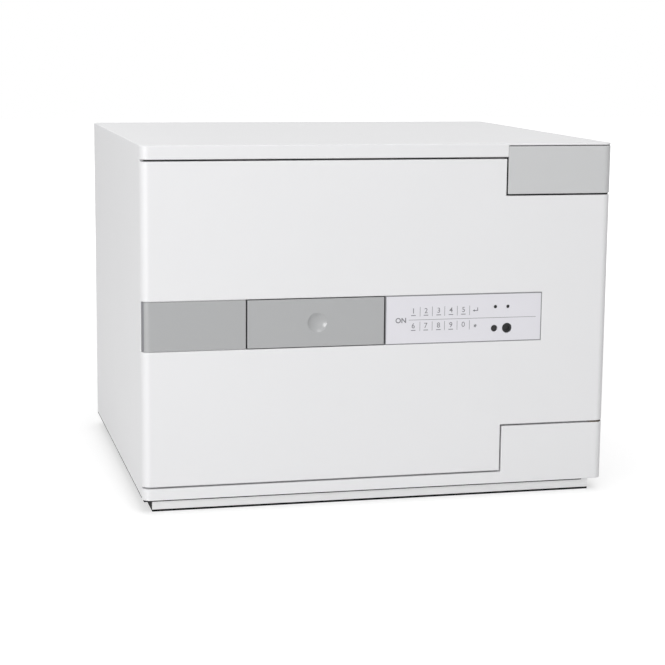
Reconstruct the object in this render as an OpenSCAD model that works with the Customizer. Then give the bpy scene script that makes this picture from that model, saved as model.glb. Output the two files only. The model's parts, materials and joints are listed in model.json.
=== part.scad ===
// Fire-resistant electronic safe for the home.
// Millimetres. Origin at the centre of the base, +Z up, the door faces -Y.

/* [Body] */
// Width over the side walls
body_w = 450; // [435:1:520]
// Depth from the front of the door to the back
body_d = 400; // [340:1:480]
// Height of the painted body without the plinth
body_h = 330; // [322:1:420]
// Thickness of the outer steel
sheet = 2; // [1.5:0.1:2.5]
// Radius of the upright corners, and of the hinge barrel
corner_r = 8; // [7.5:0.1:9]
// Side wall, from the outside to the inside of the liner
side_wall = 40; // [38:1:48]
// Back wall, from the outside to the inside of the liner
back_wall = 42; // [20:1:60]
// Thickness of the liner sheet
liner_t = 1.5; // [1:0.1:2.5]

/* [Plinth] */
// Height of the plinth
plinth_h = 10; // [6:1:25]
// Setback of the plinth at the sides and the back
plinth_side = 10; // [5:1:25]
// Setback of the plinth at the front
plinth_front = 12; // [5:1:25]
// Thickness of the plinth pan
plinth_t = 2.5; // [2:0.1:4]

/* [Front] */
// Height of the strip above the door
top_strip = 12.8; // [10:0.1:20]
// Height of the strip below the door
bottom_strip = 13.5; // [10:0.1:22]
// Width of the cap over the upper hinge
cap_w = 103.6; // [90:0.1:112]
// Height of the cap over the upper hinge
cap_h = 47.5; // [42:0.1:52]
// Wall of the hinge cap
cap_t = 2; // [1.5:0.1:2.5]
// Width of the lower hinge block
block_w = 104.1; // [90:0.1:112]
// Height of the lower hinge block
block_h = 59.3; // [50:0.1:64]
// Gap round the door
door_gap = 1.6; // [1.4:0.1:2.2]
// Thickness of the door's front plate
door_t = 9; // [8:0.1:9.5]
// Gap between the front plate and the frame behind it
rear_gap = 1.2; // [0.8:0.1:1.5]

/* [Band] */
// Height of the lower edge of the grey band above the body's lower edge
band_z = 143.3; // [130:0.1:150]
// Height of the band
band_h = 44.5; // [43:0.1:50]
// Width of the grey inlay left of the handle
inlay_w = 97.1; // [85:0.1:105]
// Thickness of the inlay
inlay_t = 2; // [1.5:0.1:2.5]
// Depth of the inlay's face behind the door's face
inlay_recess = 0.5; // [0.2:0.1:1]
// Width of the handle's opening
handle_w = 132.4; // [125:0.1:140]
// Gap at each end of the handle plate
handle_end_gap = 0.9; // [0.6:0.1:1.5]
// Gap above and below the handle plate
handle_side_gap = 0.5; // [0.4:0.1:1]
// Diameter of the finger dimple
dimple_d = 19.4; // [16:0.1:22]
// Depth of the finger dimple
dimple_depth = 3.2; // [2:0.1:3.6]
// Thickness of the handle plate
handle_t = 7; // [6.6:0.1:7.3]
// How far the handle springs out
handle_travel = 14; // [8:0.5:15]
// Width of the keypad
panel_w = 154.6; // [150:0.1:158]
// Thickness of the keypad's front panel
panel_t = 2.5; // [2:0.1:3]

/* [Door body] */
// Depth of the filled part of the door behind the front plate
door_fill_t = 31; // [30:0.5:36]
// Depth of the lock housing behind the filled part
housing_t = 32; // [31:0.5:40]
// Gap between the door body and the frame at the hinge side, above and below
plug_gap = 3; // [2.5:0.1:4]
// Gap between the door body and the frame at the lock side
swing_gap = 4; // [3.5:0.1:5]
// Thickness of the inner door sheets
door_sheet = 1.5; // [1.2:0.1:2]
// Thickness of the fire seal on the edge of the door body
seal_t = 1.5; // [1:0.1:1.8]

/* [Hinges] */
// Diameter of the hinge pins
pin_d = 8; // [6:0.1:8.2]
// Wall of the brass hinge bushes
bush_wall = 2; // [1.5:0.1:2.2]
// Length of each hinge bush
bush_len = 14; // [8:1:25]
// Radial clearance of pins and shafts in their bores
run_clear = 0.05; // [0.03:0.01:0.08]

/* [Boltwork] */
// Diameter of the locking bolts
bolt_d = 16; // [13:0.5:17]
// Distance between neighbouring bolts
bolt_pitch = 64; // [56:1:70]
// How far the bolts are thrown
bolt_throw = 20; // [14:0.5:20]
// Thickness of the bolt carriage
carriage_t = 3; // [2:0.5:3.5]
// Width of the bolt carriage
carriage_w = 46; // [44:1:50]
// Module of the rack and its pinion
rack_module = 1.5; // [1.3:0.05:1.6]
// Teeth of the rack's pinion
pinion_teeth = 14; // [13:1:15]
// Module of the gear wheel and the motor pinion
wheel_module = 1; // [0.9:0.02:1.04]
// Teeth of the gear wheel
wheel_teeth = 48; // [44:1:50]
// Teeth of the motor pinion
motor_teeth = 12; // [12:1:14]
// Width of the gear wheel's rim
wheel_t = 6; // [4:0.5:6]
// Backlash of the teeth, measured on the pitch circle
backlash = 0.16; // [0.12:0.01:0.25]
// Diameter of the lock motor
motor_d = 30; // [24:0.5:32]

/* [Power] */
// Diameter of a battery cell
cell_d = 14.5; // [14:0.1:14.8]
// Length of a battery cell
cell_l = 50.5; // [48:0.5:51]
// Wall of the battery box
battery_wall = 2; // [1.5:0.1:2.5]
// Thickness of the battery lid
lid_t = 2.5; // [2:0.1:3]

/* [Inside] */
// Height of the shelf's surface above the cavity floor
shelf_up = 110; // [100:1:130]
// Thickness of the shelf
shelf_t = 1.5; // [1:0.1:2.5]
// Distance of the shelf's front edge behind the cavity's front
shelf_back = 22; // [10:1:80]
// Thickness of the floor mat
mat_t = 3; // [2:0.5:6]
// Bore of the floor anchor sleeves
anchor_d = 13; // [10:0.5:16]
// Distance between the floor anchors
anchor_pitch = 200; // [120:1:240]

/* [Hidden] */
$fn = 48;

// Planes of the body
x_left = -body_w / 2;
x_right = body_w / 2;
y_front = -body_d / 2;
y_back = body_d / 2;
z_low = plinth_h;
z_high = plinth_h + body_h;
y_plate = y_front + door_t;
y_frame = y_plate + rear_gap;

// Hinge axis and the pocket that its barrel turns in
hinge_x = x_right - corner_r;
hinge_y = y_front + corner_r;
pocket_clear = 1;
pocket_x = hinge_x - corner_r - pocket_clear;
pocket_y = hinge_y + corner_r + pocket_clear;
cap_x = x_right - cap_w;
block_x = x_right - block_w;
z_cap = z_high - cap_h;
z_block = z_low + block_h;

// Door body, frame opening and cavity
fit = 0.2;
plug_in_left = 34;
plug_in_right = 38;
plug_step = 1;
plug_left = x_left + plug_in_left;
plug_right = x_right - plug_in_right;
plug_low = z_block + door_gap + plug_step;
plug_high = z_cap - door_gap - plug_step;
frame_t = 2;
jamb_left = plug_left - swing_gap;
jamb_right = plug_right + plug_gap;
jamb_low = plug_low - plug_gap;
jamb_high = plug_high + plug_gap;
y_housing = y_plate + door_fill_t;
y_cover = y_housing + housing_t - door_sheet;
y_door_end = y_cover + door_sheet;
door_to_cavity = 6;
jamb_end = y_door_end + door_to_cavity;
liner_step = 5;
cavity_left = x_left + side_wall;
cavity_right = x_right - side_wall;
cavity_low = jamb_low + liner_step;
cavity_high = jamb_high - liner_step;
cavity_back = y_back - back_wall;
cavity_front = jamb_end;

// Band across the door
z_band = z_low + band_z;
z_band_mid = z_band + band_h / 2;
inlay_x = x_left + inlay_w;
handle_x = inlay_x + handle_w;
panel_x = handle_x + panel_w;
handle_mid = (inlay_x + handle_x) / 2;
press_clear = 0.5;
press_travel = door_t - handle_t - press_clear;
backplate_t = 2;
backplate_lap = 4;
stem_d = 10;
stem_flange = 14;
stem_flange_t = 2;
stop_gap = 0.5;
stem_end = y_housing - door_sheet - press_travel - stop_gap;
latch_neck_end = stem_end - stem_flange_t - handle_travel - stop_gap;
latch_d = 24;
rim_t = 0.8;
ledge_t = 2.3;
tray_floor = 1.5;
board_t = 1.6;
board_deep = 5;
y_board = y_front + board_deep;
lead_d = 5;
conduit_d = 10;
conduit_wall = 1.5;
lead_x = (handle_x + plug_right) / 2;

// Lamps and reserve contacts, from the keypad's right-hand end and the band's middle
lamp_d = 3;
lamp_in = 47.5;
lamp_pitch = 12.5;
lamp_up = 10.3;
lamp_xs = [panel_x - lamp_in, panel_x - lamp_in + lamp_pitch];
lamp_z = z_band_mid + lamp_up;
contact_in = 48.3;
contact_pitch = 12.7;
contact_down = 10.4;
contact_ds = [5.6, 8.8];
contact_xs = [panel_x - contact_in, panel_x - contact_in + contact_pitch];
contact_z = z_band_mid - contact_down;
contact_gap = 0.4;

// Lock housing and what it holds
housing_step_left = 5;
housing_step_right = 3;
housing_step = 2;
housing_left = plug_left + housing_step_left;
housing_right = plug_right - housing_step_right;
housing_low = plug_low + housing_step;
housing_high = plug_high - housing_step;
y_floor = y_housing + door_sheet;
z_mid = (plug_low + plug_high) / 2;
bolt_deep = 14;
bolt_y = y_housing + bolt_deep;
bolt_zs = [z_mid - bolt_pitch, z_mid, z_mid + bolt_pitch];
bolt_flat = 1;
y_carriage = bolt_y + bolt_d / 2 - bolt_flat;
bolt_proud = 1;
bolt_tip = housing_left - bolt_proud;
bolt_nose = 2;
guide_d = bolt_d + 4;
guide_in = 10;
guide_gap = 2;
carriage_x = housing_left + door_sheet + guide_in + bolt_throw + guide_gap;
bolt_short = 6;
bolt_end = carriage_x + carriage_w - bolt_short;
bolt_screw_in = 12;
bolt_screw_x = bolt_end - bolt_screw_in;
carriage_margin = 14;
stud_d = 6;
stud_in = 7;
stud_spread = 40;
stud_x = carriage_x + stud_in;
stud_zs = [z_mid - stud_spread, z_mid + stud_spread];
slot_w = stud_d + 0.8;
side_play = 0.3;
rack_t = 8;
rack_body = 6;
pinion_r = rack_module * pinion_teeth / 2;
wheel_r = wheel_module * wheel_teeth / 2;
motor_r = wheel_module * motor_teeth / 2;
pressure = 25;
rack_drop = 22;
rack_line = z_mid - rack_drop;
axle_past = 28;
axle_x = carriage_x + carriage_w + axle_past;
axle_z = rack_line + pinion_r;
axle_d = 6;
y_rack = y_carriage - rack_t;
wheel_gap = 1;
y_wheel = y_rack - wheel_gap - wheel_t;
mesh_angle = 60;
motor_reach = wheel_r + motor_r;
motor_x = axle_x + motor_reach * cos(mesh_angle);
motor_z = axle_z + motor_reach * sin(mesh_angle);
motor_len = 14;
shaft_d = 3;
shaft_in = 6;
bracket_t = 2;
bracket_gap = 0.6;
y_bracket = y_wheel + wheel_t + bracket_gap;
rack_pitch = PI * rack_module;
post_d = 6;

// Battery box, lid and code button
cell_gap = 0.6;
cell_room = 8;
cell_nub = 1;
battery_in = 122;
battery_up = 8;
battery_w = 4 * (cell_d + cell_gap) + 2 * battery_wall;
battery_h = cell_l + cell_room + 2 * battery_wall;
battery_x = plug_right - battery_in;
battery_z = housing_low + battery_up;
battery_deep = cell_d + 5;
lid_gap = 0.3;
lid_lap = 2;
lid_r = 2.5;
lid_pin = 2.4;
lid_axis_y = y_door_end + lid_gap + lid_r;
lid_axis_z = battery_z + battery_h + lid_lap + lid_r;
lid_left = battery_x - lid_lap;
lid_right = battery_x + battery_w + lid_lap;
ear_t = 3;
button_d = 8;
button_out = 26;
button_x = battery_x - button_out;
button_z = battery_z + battery_h / 2;
button_travel = 2;

// Control board
control_w = 112;
control_h = 62;
control_down = 12;
control_x = lead_x - control_w / 2;
control_z = housing_high - control_down - control_h;
spacer_h = 7;
y_control = y_floor + spacer_h;

// Cover screws
screw_d = 4;
screw_in = 8;
screw_off = 12;
screw_mid = (housing_left + housing_right) / 2 - screw_off;
screw_spots = [for (x = [housing_left + screw_in, screw_mid,
    housing_right - screw_in]) for (z = [housing_low + screw_in, housing_high - screw_in]) [x, z]];

// Block between two corners
module block(low, high) {
    translate(low) cube(high - low);
}

// Round rod along X, Y or Z from one end to the other
module rod_x(x0, x1, y, z, d) {
    translate([x0, y, z]) rotate([0, 90, 0]) cylinder(d = d, h = x1 - x0);
}

module rod_y(x, y0, y1, z, d) {
    translate([x, y1, z]) rotate([90, 0, 0]) cylinder(d = d, h = y1 - y0);
}

module rod_z(x, y, z0, z1, d) {
    translate([x, y, z0]) cylinder(d = d, h = z1 - z0);
}

// Rectangle with round corners about the origin
module round_rect(w, d, r) {
    square([w - 2 * r, d], center = true);
    square([w, d - 2 * r], center = true);
    for (x = [-1, 1], y = [-1, 1]) translate([x * (w / 2 - r), y * (d / 2 - r)]) circle(r = r);
}

// Plan of the safe, drawn in by a margin, as a column between two heights
module column(margin, z0, z1) {
    translate([0, 0, z0]) linear_extrude(z1 - z0)
        round_rect(body_w - 2 * margin, body_d - 2 * margin, corner_r - margin);
}

// Open box: outer corners, wall and the face that stays open ("front" is -Y, "back" is +Y)
module pan(low, high, wall, open) {
    front = open == "front" ? -1 : wall;
    back = open == "back" ? -1 : wall;
    difference() {
        block(low, high);
        block(low + [wall, front, wall], high - [wall, back, wall]);
    }
}

// Involute helpers: angles in degrees, radii in millimetres
function inv(a) = tan(a) - a * PI / 180;
function half_tooth(teeth, r_pitch, r_base, r) =
    90 / teeth - backlash / r_pitch * 90 / PI + (inv(pressure) - inv(acos(min(1, r_base / r)))) * 180 / PI;
function polar(r, a) = [r * cos(a), r * sin(a)];

// Outline of a spur gear with its first tooth on +X
function gear_outline(module_size, teeth) =
    let (
        r_pitch = module_size * teeth / 2,
        r_base = r_pitch * cos(pressure),
        r_tip = r_pitch + module_size,
        r_root = r_pitch - 1.25 * module_size,
        r_start = max(r_base, r_root + 0.05),
        steps = 5,
        flank = [for (i = [0 : steps]) r_start + (r_tip - r_start) * i / steps]
    )
    [for (t = [0 : teeth - 1]) let (mid = t * 360 / teeth) each concat(
        [polar(r_root, mid - half_tooth(teeth, r_pitch, r_base, r_start))],
        [for (i = [0 : steps]) polar(flank[i], mid - half_tooth(teeth, r_pitch, r_base, flank[i]))],
        [for (i = [steps : -1 : 0]) polar(flank[i], mid + half_tooth(teeth, r_pitch, r_base, flank[i]))],
        [polar(r_root, mid + half_tooth(teeth, r_pitch, r_base, r_start))]
    )];

// Spur gear with its axis along Y, its first tooth at an angle from +X towards +Z
module gear(x, z, y0, width, module_size, teeth, turn) {
    translate([x, y0 + width, z]) rotate([90, 0, 0]) linear_extrude(width)
        rotate(turn) polygon(gear_outline(module_size, teeth));
}

// Casing, open at the front and below
module outer_casing() {
    color("#e6e6e8") difference() {
        union() {
            difference() {
                column(0, z_low, z_high);
                column(sheet, z_low - 1, z_high - sheet);
            }
            intersection() {
                column(0, z_low, z_high);
                block([x_left, y_front, z_high - top_strip],
                    [cap_x, y_frame, z_high - top_strip + sheet]);
            }
        }
        block([x_left - 1, y_front - 1, z_low - 1], [x_right + 1, y_frame, z_high - top_strip]);
        block([cap_x, y_front - 1, z_low - 1], [x_right + 1, y_frame, z_high - sheet]);
        block([pocket_x, y_front - 1, z_low - 1], [x_right + 1, pocket_y, z_high - sheet]);
    }
}

module anchor_holes(z0, z1, d) {
    for (x = [-1, 1]) rod_z(x * anchor_pitch / 2, 0, z0, z1, d);
}

sleeve_d = anchor_d + 4;

module bottom_plate() {
    color("#dcdcde") difference() {
        intersection() {
            column(sheet + fit, z_low, z_low + sheet);
            block([x_left, y_frame, z_low], [x_right, y_back, z_low + sheet]);
        }
        block([pocket_x, y_frame - 1, z_low - 1], [x_right + 1, pocket_y, z_low + sheet + 1]);
        anchor_holes(z_low - 1, z_low + sheet + 1, sleeve_d);
    }
}

module plinth() {
    color("#dcdcde") difference() {
        block([x_left + plinth_side, y_front + plinth_front, 0],
            [x_right - plinth_side, y_back - plinth_side, z_low]);
        block([x_left + plinth_side + plinth_t, y_front + plinth_front + plinth_t, plinth_t],
            [x_right - plinth_side - plinth_t, y_back - plinth_side - plinth_t, z_low + 1]);
        anchor_holes(-1, plinth_t + 1, sleeve_d);
    }
}

// Window in the lock-side jamb that takes the strike plate
strike_margin = 15;
strike_low = [jamb_left - frame_t, bolt_y - strike_margin, bolt_zs[0] - strike_margin];
strike_high = [jamb_left, bolt_y + strike_margin, bolt_zs[2] + strike_margin];
strike_deep = 17;
strike_lap = 2;
strike_clear = 2.5;
strike_box_low = strike_low - [strike_deep, strike_lap, strike_lap];
strike_box_high = [strike_low[0], strike_high[1] + strike_lap, strike_high[2] + strike_lap];

module front_frame() {
    low = z_low + sheet;
    high = z_high - sheet;
    color("#d4d4d6") difference() {
        union() {
            block([x_left + sheet, y_frame, low], [pocket_x, y_frame + frame_t, high]);
            block([jamb_left - frame_t, y_frame, jamb_low - frame_t],
                [jamb_right + frame_t, jamb_end, jamb_high + frame_t]);
            block([pocket_x - frame_t, y_frame, low], [pocket_x, pocket_y + frame_t, high]);
            block([pocket_x - frame_t, pocket_y, low], [x_right - sheet, pocket_y + frame_t, high]);
        }
        block([jamb_left, y_frame - 1, jamb_low], [jamb_right, jamb_end - frame_t, jamb_high]);
        block([cavity_left, y_frame - 1, cavity_low], [cavity_right, jamb_end + 1, cavity_high]);
        block(strike_low - [1, 0, 0], strike_high + [1, 0, 0]);
        for (x = block_screw_xs) rod_y(x, y_frame - 1, y_frame + frame_t + 1, block_screw_z, block_screw_d);
    }
}

// Strike plate with a punched square window for each bolt
module strike_plate() {
    half = bolt_d / 2 + strike_clear;
    color("#b8b8bb") difference() {
        block(strike_low, strike_high);
        for (z = bolt_zs) block([strike_low[0] - 1, bolt_y - half, z - half],
            [strike_high[0] + 1, bolt_y + half, z + half]);
    }
}

module strike_box() {
    wall = 1.5;
    color("#a8a8ab") difference() {
        block(strike_box_low, strike_box_high);
        block(strike_box_low + [wall, wall, wall], strike_box_high - [-1, wall, wall]);
    }
}

module inner_liner() {
    color("#c9cacc") difference() {
        block([cavity_left - liner_t, jamb_end, cavity_low - liner_t],
            [cavity_right + liner_t, cavity_back + liner_t, cavity_high + liner_t]);
        block([cavity_left, jamb_end - 1, cavity_low], [cavity_right, cavity_back, cavity_high]);
        anchor_holes(cavity_low - liner_t - 1, cavity_low + 1, sleeve_d);
        for (y = stud_ys) rod_x(cavity_left - liner_t - 1, cavity_right + liner_t + 1,
            y, shelf_stud_z, stud_root_d);
    }
}

// Insulation that fills the walls
module fire_fill() {
    color("#b9b6ae") difference() {
        intersection() {
            column(sheet + fit, z_low + sheet, z_high - sheet);
            block([x_left, y_frame + frame_t, z_low], [x_right, y_back, z_high]);
        }
        block([jamb_left - frame_t, y_frame, jamb_low - frame_t],
            [jamb_right + frame_t, jamb_end, jamb_high + frame_t]);
        block([cavity_left - liner_t, jamb_end - 1, cavity_low - liner_t],
            [cavity_right + liner_t, cavity_back + liner_t, cavity_high + liner_t]);
        block([pocket_x - frame_t, y_frame, z_low], [x_right, pocket_y + frame_t, z_high]);
        block(strike_box_low, strike_high + [0, strike_lap, strike_lap]);
        anchor_holes(z_low, cavity_low, sleeve_d + 2 * fit);
        for (x = block_screw_xs) rod_y(x, y_frame, y_frame + block_screw_l, block_screw_z, block_screw_d + 1);
        for (y = stud_ys) rod_x(cavity_left - stud_root - 1, cavity_right + stud_root + 1,
            y, shelf_stud_z, shelf_stud_d);
    }
}

// Lower strip and hinge block in one piece, with the lower pin's hole
module lower_hinge_block() {
    color("#e2e2e4") difference() {
        intersection() {
            column(0, z_low, z_block);
            union() {
                block([x_left, y_front, z_low], [x_right, y_frame, z_low + bottom_strip]);
                block([block_x, y_front, z_low], [x_right, y_frame, z_block]);
                block([pocket_x, y_front, z_low], [x_right, pocket_y, z_block]);
            }
        }
        rod_z(hinge_x, hinge_y, z_block - pin_root, z_block + 1, pin_d);
    }
}

pin_root = 20;
pin_reach = door_gap + bush_len - 1;
cap_fit = 0.3;
block_screw_d = 6;
block_screw_l = 12;
block_head_d = 10;
block_head_t = 5;
block_screw_in = 22;
block_screw_pitch = 40;
head_clear = 0.5;
block_screw_xs = [cap_x + block_screw_in, cap_x + block_screw_in + block_screw_pitch];
block_screw_z = z_cap + cap_h / 2;
block_screw_seat = y_front + cap_t + cap_fit + block_head_t + head_clear;

module upper_hinge_block() {
    color("#8d8f92") difference() {
        intersection() {
            column(cap_t + cap_fit, z_cap, z_high - sheet);
            union() {
                block([cap_x + cap_t + cap_fit, y_front, z_cap], [x_right, y_frame, z_high]);
                block([pocket_x, y_front, z_cap], [x_right, pocket_y, z_high]);
            }
        }
        rod_z(hinge_x, hinge_y, z_cap - 1, z_cap + pin_root, pin_d);
        for (x = block_screw_xs) {
            rod_y(x, y_front, y_frame + 1, block_screw_z, block_screw_d);
            rod_y(x, y_front, block_screw_seat, block_screw_z, block_head_d + 2 * head_clear);
        }
    }
}

// Socket-head screws that hold the upper block to the frame
module hinge_block_screws() {
    y_head = block_screw_seat - block_head_t;
    socket_d = 5.8;
    socket_deep = 2.5;
    color("#6d6f72") for (x = block_screw_xs) difference() {
        union() {
            rod_y(x, block_screw_seat, y_frame + block_screw_l - 1, block_screw_z, block_screw_d - 0.1);
            rod_y(x, y_head, block_screw_seat, block_screw_z, block_head_d);
        }
        translate([x, y_head + socket_deep, block_screw_z]) rotate([90, 0, 0])
            cylinder(d = socket_d, h = socket_deep + 1, $fn = 6);
    }
}

module hinge_cap() {
    seam = 0.6;
    top = z_high - sheet - seam;
    color("#c6c7c9") difference() {
        intersection() {
            column(0, z_cap, top);
            union() {
                block([cap_x, y_front, z_cap], [x_right, y_frame, top]);
                block([pocket_x, y_front, z_cap], [x_right, pocket_y, top]);
            }
        }
        intersection() {
            column(cap_t, z_cap - 1, top + 1);
            block([cap_x + cap_t, y_front, z_cap - 1], [x_right, pocket_y + 1, top + 1]);
        }
    }
}

module hinge_pin(z0, z1) {
    color("#9a9c9f") rod_z(hinge_x, hinge_y, z0, z1, pin_d);
}

module lower_hinge_pin() {
    hinge_pin(z_block - pin_root, z_block + pin_reach);
}

module upper_hinge_pin() {
    hinge_pin(z_cap - pin_reach, z_cap + pin_root);
}

module hinge_washer() {
    play = 0.1;
    color("#c9a24a") difference() {
        rod_z(hinge_x, hinge_y, z_block, z_block + door_gap - play, 2 * corner_r - 1);
        rod_z(hinge_x, hinge_y, z_block - 1, z_block + door_gap + 1, pin_d + fit);
    }
}

module anchor_sleeves() {
    color("#8f9194") difference() {
        anchor_holes(0, cavity_low, sleeve_d - 0.2);
        anchor_holes(-1, cavity_low + 1, anchor_d);
    }
}

module floor_mat() {
    rim = 1;
    color("#3c3d40") difference() {
        block([cavity_left + rim, cavity_front + rim, cavity_low],
            [cavity_right - rim, cavity_back - rim, cavity_low + mat_t]);
        anchor_holes(cavity_low - 1, cavity_low + mat_t + 1, sleeve_d + 6);
    }
}

// Shelf with a front lip folded down and a rear lip folded up, on four studs
shelf_z = cavity_low + shelf_up;
shelf_lip = 10;
shelf_front = cavity_front + shelf_back;
shelf_rear = cavity_back - 3;
shelf_stud_d = 8;
stud_root_d = shelf_stud_d - 2;
stud_root = 6;
stud_reach = 9;
stud_from_edge = 30;
shelf_stud_z = shelf_z - shelf_t - shelf_stud_d / 2;
stud_ys = [shelf_front + stud_from_edge, shelf_rear - stud_from_edge];

module shelf() {
    side = 1;
    low = [cavity_left + side, shelf_front, shelf_z - shelf_t];
    high = [cavity_right - side, shelf_rear, shelf_z];
    color("#cfd0d2") {
        block(low, high);
        block([low[0], low[1], low[2] - shelf_lip], [high[0], low[1] + shelf_t, high[2]]);
        block([low[0], high[1] - shelf_t, low[2]], [high[0], high[1], high[2] + shelf_lip]);
    }
}

// Shelf studs, each with a collar inside and a root in the wall
module shelf_studs() {
    color("#a9abae") for (y = stud_ys) {
        rod_x(cavity_left - stud_root, cavity_left, y, shelf_stud_z, stud_root_d);
        rod_x(cavity_left, cavity_left + stud_reach, y, shelf_stud_z, shelf_stud_d);
        rod_x(cavity_right, cavity_right + stud_root, y, shelf_stud_z, stud_root_d);
        rod_x(cavity_right - stud_reach, cavity_right, y, shelf_stud_z, shelf_stud_d);
    }
}

// Skin of the door's front and rounded edge along the band, between two depths
module band_skin(outer, inner, x0, x1, z0, z1) {
    difference() {
        intersection() {
            column(outer, z0, z1);
            block([x0, y_front - 1, z0], [x1, y_plate, z1]);
        }
        column(inner, z0 - 1, z1 + 1);
    }
}

module door_plate() {
    z_door_low = z_low + bottom_strip + door_gap;
    z_door_high = z_high - top_strip - door_gap;
    z_hinge_low = z_block + door_gap;
    z_hinge_high = z_cap - door_gap;
    color("#e4e4e6") difference() {
        union() {
            intersection() {
                column(0, z_door_low, z_door_high);
                union() {
                    block([x_left, y_front, z_door_low], [block_x - door_gap, y_plate, z_mid]);
                    block([x_left, y_front, z_mid], [cap_x - door_gap, y_plate, z_door_high]);
                    block([x_left, y_front, z_hinge_low], [x_right, y_plate, z_hinge_high]);
                }
            }
            rod_z(hinge_x, hinge_y, z_hinge_low, z_hinge_high, 2 * corner_r);
        }
        band_skin(-1, inlay_recess + inlay_t, x_left - 2, inlay_x, z_band, z_band + band_h);
        block([inlay_x, y_front - 1, z_band], [panel_x, y_plate + 1, z_band + band_h]);
        rod_z(hinge_x, hinge_y, z_hinge_low - 1, z_hinge_low + bush_len, bush_d);
        rod_z(hinge_x, hinge_y, z_hinge_high - bush_len, z_hinge_high + 1, bush_d);
    }
}

bush_d = pin_d + 2 * run_clear + 2 * bush_wall;

module hinge_bush(z0) {
    color("#c9a24a") difference() {
        rod_z(hinge_x, hinge_y, z0, z0 + bush_len, bush_d);
        rod_z(hinge_x, hinge_y, z0 - 1, z0 + bush_len + 1, pin_d + 2 * run_clear);
    }
}

module lower_hinge_bush() {
    hinge_bush(z_block + door_gap);
}

module upper_hinge_bush() {
    hinge_bush(z_cap - door_gap - bush_len);
}

module door_tray() {
    color("#d8d8da") difference() {
        pan([plug_left, y_plate, plug_low], [plug_right, y_housing, plug_high], door_sheet, "front");
        rod_y(lead_x, y_housing - door_sheet - 1, y_housing + 1, z_band_mid, conduit_d);
    }
}

module door_fill() {
    color("#b9b6ae") difference() {
        block([plug_left + door_sheet, y_plate, plug_low + door_sheet],
            [plug_right - door_sheet, y_housing - door_sheet, plug_high - door_sheet]);
        block([inlay_x - backplate_lap, y_plate - 1, z_band - backplate_lap],
            [handle_x + backplate_lap, y_plate + backplate_t, z_band + band_h + backplate_lap]);
        rod_y(handle_mid, y_plate, y_housing, z_band_mid, latch_d + fit);
        rod_y(lead_x, y_plate - 1, y_housing, z_band_mid, conduit_d + fit);
    }
}

// Swelling strip bonded round the edge of the door body
module door_seal() {
    behind = 8;
    width = 14;
    y0 = y_plate + behind;
    y1 = y0 + width;
    color("#55565a") difference() {
        block([plug_left - seal_t, y0, plug_low - seal_t], [plug_right + seal_t, y1, plug_high + seal_t]);
        block([plug_left, y0 - 1, plug_low], [plug_right, y1 + 1, plug_high]);
    }
}

module band_inlay() {
    color("#aeb0b3") band_skin(inlay_recess, inlay_recess + inlay_t, x_left, inlay_x,
        z_band + fit, z_band + band_h - fit);
}

module handle_backplate() {
    color("#2b2c2e") difference() {
        block([inlay_x - backplate_lap, y_plate, z_band - backplate_lap],
            [handle_x + backplate_lap, y_plate + backplate_t, z_band + band_h + backplate_lap]);
        rod_y(handle_mid, y_plate - 1, y_plate + backplate_t + 1, z_band_mid, stem_d + 1);
    }
}

// Guide of the handle stem, with a chamber for its flange
module handle_latch_body() {
    y0 = y_plate + backplate_t;
    y1 = y_housing - door_sheet;
    color("#8f9194") difference() {
        rod_y(handle_mid, y0, y1, z_band_mid, latch_d);
        rod_y(handle_mid, y0 - 1, y1, z_band_mid, stem_d + 2 * run_clear);
        rod_y(handle_mid, latch_neck_end, y1 + 1, z_band_mid, stem_flange + 1);
    }
}

module keypad_tray() {
    low = [handle_x, y_front + 0.2, z_band];
    high = [panel_x, y_plate, z_band + band_h];
    color("#9c9ea2") difference() {
        block(low, high);
        block([low[0] + rim_t, y_front - 1, low[2] + rim_t],
            [high[0] - rim_t, y_front + panel_t + 0.2, high[2] - rim_t]);
        block([low[0] + ledge_t, y_front, low[2] + ledge_t],
            [high[0] - ledge_t, high[1] - tray_floor, high[2] - ledge_t]);
        rod_y(lead_x, y_plate - tray_floor - 1, y_plate + 1, z_band_mid, lead_d + 2);
    }
}

module keypad_panel() {
    side = rim_t + 0.1;
    color("#e0dfe8") difference() {
        block([handle_x + side, y_front, z_band + side],
            [panel_x - side, y_front + panel_t, z_band + band_h - side]);
        for (x = lamp_xs) rod_y(x, y_front - 1, y_front + panel_t + 1, lamp_z, lamp_d + 0.2);
        for (i = [0, 1]) rod_y(contact_xs[i], y_front - 1, y_front + panel_t + 1, contact_z,
            contact_ds[i] + 2 * contact_gap);
    }
}

// Keypad circuit board on four bosses of the tray
module keypad_board() {
    edge = ledge_t + 0.3;
    boss_in = 8;
    y1 = y_plate - tray_floor;
    color("#2f6b46") {
        block([handle_x + edge, y_board, z_band + edge],
            [panel_x - edge, y_board + board_t, z_band + band_h - edge]);
        for (x = [handle_x + boss_in, panel_x - boss_in], z = [z_band + boss_in, z_band + band_h - boss_in])
            rod_y(x, y_board + board_t, y1, z, 5);
    }
}

module status_lamps() {
    color("#1d1d20") for (x = lamp_xs) rod_y(x, y_front + 0.3, y_board, lamp_z, lamp_d);
}

// Snap contacts for a reserve battery: a stud and a socket
module reserve_contacts() {
    color("#2a2a2d") for (i = [0, 1]) difference() {
        union() {
            rod_y(contact_xs[i], y_front + 0.9, y_board, contact_z, contact_ds[i]);
            rod_y(contact_xs[i], y_board - 1, y_board, contact_z, contact_ds[i] + 2);
        }
        if (i == 1) rod_y(contact_xs[i], y_front, y_front + 3, contact_z, 5.8);
    }
}

module cable_conduit() {
    color("#77797c") difference() {
        rod_y(lead_x, y_plate, y_floor, z_band_mid, conduit_d);
        rod_y(lead_x, y_plate - 1, y_floor + 1, z_band_mid, conduit_d - 2 * conduit_wall);
    }
}

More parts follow.
